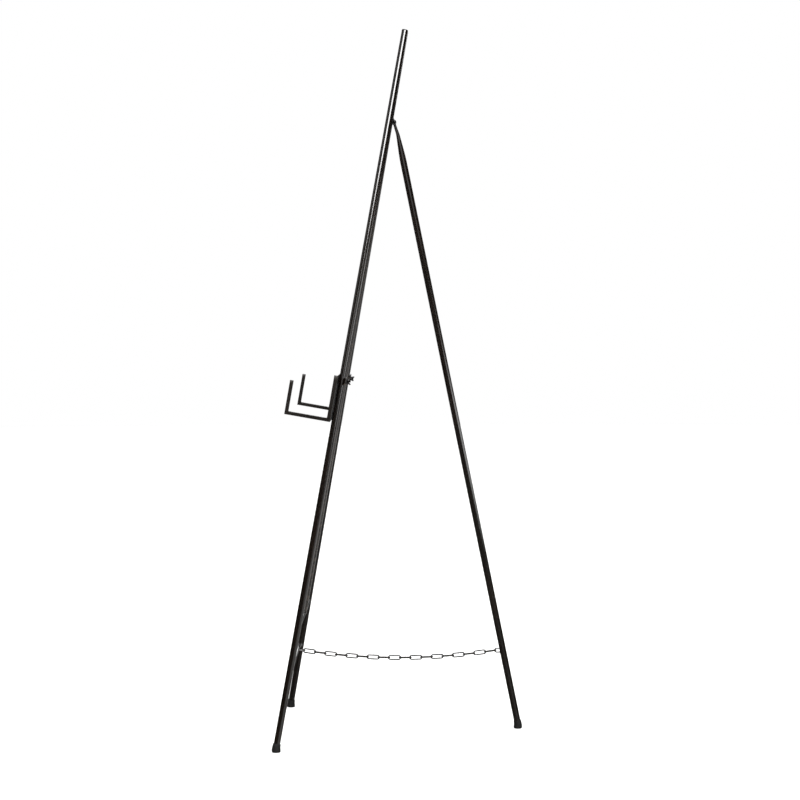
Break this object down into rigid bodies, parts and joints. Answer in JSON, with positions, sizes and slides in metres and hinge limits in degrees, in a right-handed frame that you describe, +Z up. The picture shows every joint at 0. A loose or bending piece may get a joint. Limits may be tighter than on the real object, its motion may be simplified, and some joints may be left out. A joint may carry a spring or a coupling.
{
  "type": "tripod field easel",
  "caption": "Folding tripod easel of dark metal tube with splayed front legs, centre mast, chained back leg and a sliding holder with square-bar hooks.",
  "frame": {"origin": "on the floor at the middle of the footprint", "axes": "+Z up, front of the easel towards -Y, +X to the right of a person facing the front"},
  "size_m": [0.5636, 0.5777, 1.6525],
  "materials": {
    "tube_finish": "semi-gloss dark bronze-black paint",
    "holder_finish": "satin dark bronze paint",
    "chain_steel": "satin blackened steel wire",
    "hardware": "blackened screws and nuts",
    "foot_rubber": "matt black rubber",
    "plug_plastic": "black moulded plastic"
  },
  "bodies": {
    "frame": {"front_chain_eye": "tube_finish", "hinge_bracket": "tube_finish", "hinge_nut": "hardware", "hinge_pin": "hardware", "left_foot": "foot_rubber", "left_front_leg": "tube_finish", "left_leg_plug": "plug_plastic", "left_tie_bar": "tube_finish", "lower_crossbar": "tube_finish", "mast": "tube_finish", "mast_plug": "plug_plastic", "right_foot": "foot_rubber", "right_front_leg": "tube_finish", "right_leg_plug": "plug_plastic", "right_tie_bar": "tube_finish", "upper_crossbar": "tube_finish"},
    "back_leg": {"back_chain_staple": "tube_finish", "back_foot": "foot_rubber", "back_leg_tube": "tube_finish"},
    "chain_front": {"chain_link_01": "chain_steel", "chain_link_02": "chain_steel", "chain_link_03": "chain_steel", "chain_link_04": "chain_steel", "chain_link_05": "chain_steel", "chain_link_06": "chain_steel", "chain_link_07": "chain_steel", "chain_link_08": "chain_steel", "chain_link_09": "chain_steel"},
    "chain_rear": {"chain_link_10": "chain_steel", "chain_link_11": "chain_steel", "chain_link_12": "chain_steel", "chain_link_13": "chain_steel", "chain_link_14": "chain_steel", "chain_link_15": "chain_steel", "chain_link_16": "chain_steel", "chain_link_17": "chain_steel", "chain_link_18": "chain_steel"},
    "holder": {"holder_plate": "holder_finish", "left_clamp_bar": "holder_finish", "left_clamp_bolt": "hardware", "left_clamp_spacer": "holder_finish", "left_hook_arm": "holder_finish", "left_hook_post": "holder_finish", "left_hook_upright": "holder_finish", "left_washer": "hardware", "right_clamp_bar": "holder_finish", "right_clamp_bolt": "hardware", "right_clamp_spacer": "holder_finish", "right_hook_arm": "holder_finish", "right_hook_post": "holder_finish", "right_hook_upright": "holder_finish", "right_washer": "hardware"},
    "wing_nut_right": {"right_wing_nut": "hardware"},
    "wing_nut_left": {"left_wing_nut": "hardware"}
  },
  "joints": [
    {"name": "back_leg_fold", "type": "hinge", "parent": "frame", "child": "back_leg", "pos_m": [0, -0.01204, 1.43719], "axis": [-1, 0, 0], "range_deg": [0, 19]},
    {"name": "chain_front_hang", "type": "hinge", "parent": "frame", "child": "chain_front", "pos_m": [0, -0.22785, 0.1868], "axis": [-0.9659, 0, -0.2588], "range_deg": [0, 86]},
    {"name": "chain_rear_hang", "type": "hinge", "parent": "back_leg", "child": "chain_rear", "pos_m": [0, 0.22785, 0.1868], "axis": [0.9903, 0, -0.1392], "range_deg": [0, 89]},
    {"name": "holder_slide", "type": "slide", "parent": "frame", "child": "holder", "axis": [0, 0.1755, 0.9845], "range_m": [-0.18, 0.15]},
    {"name": "right_wing_nut_turn", "type": "hinge", "parent": "holder", "child": "wing_nut_right", "pos_m": [0.105, -0.13193, 0.83316], "axis": [0, 0.9845, -0.1755], "continuous": true},
    {"name": "left_wing_nut_turn", "type": "hinge", "parent": "holder", "child": "wing_nut_left", "pos_m": [-0.105, -0.13193, 0.83316], "axis": [0, 0.9845, -0.1755], "continuous": true}
  ],
  "couplings": [
    {"joint": "chain_front_hang", "follows": "back_leg_fold", "ratio": 4.4737},
    {"joint": "chain_rear_hang", "follows": "back_leg_fold", "ratio": 4.6316}
  ]
}
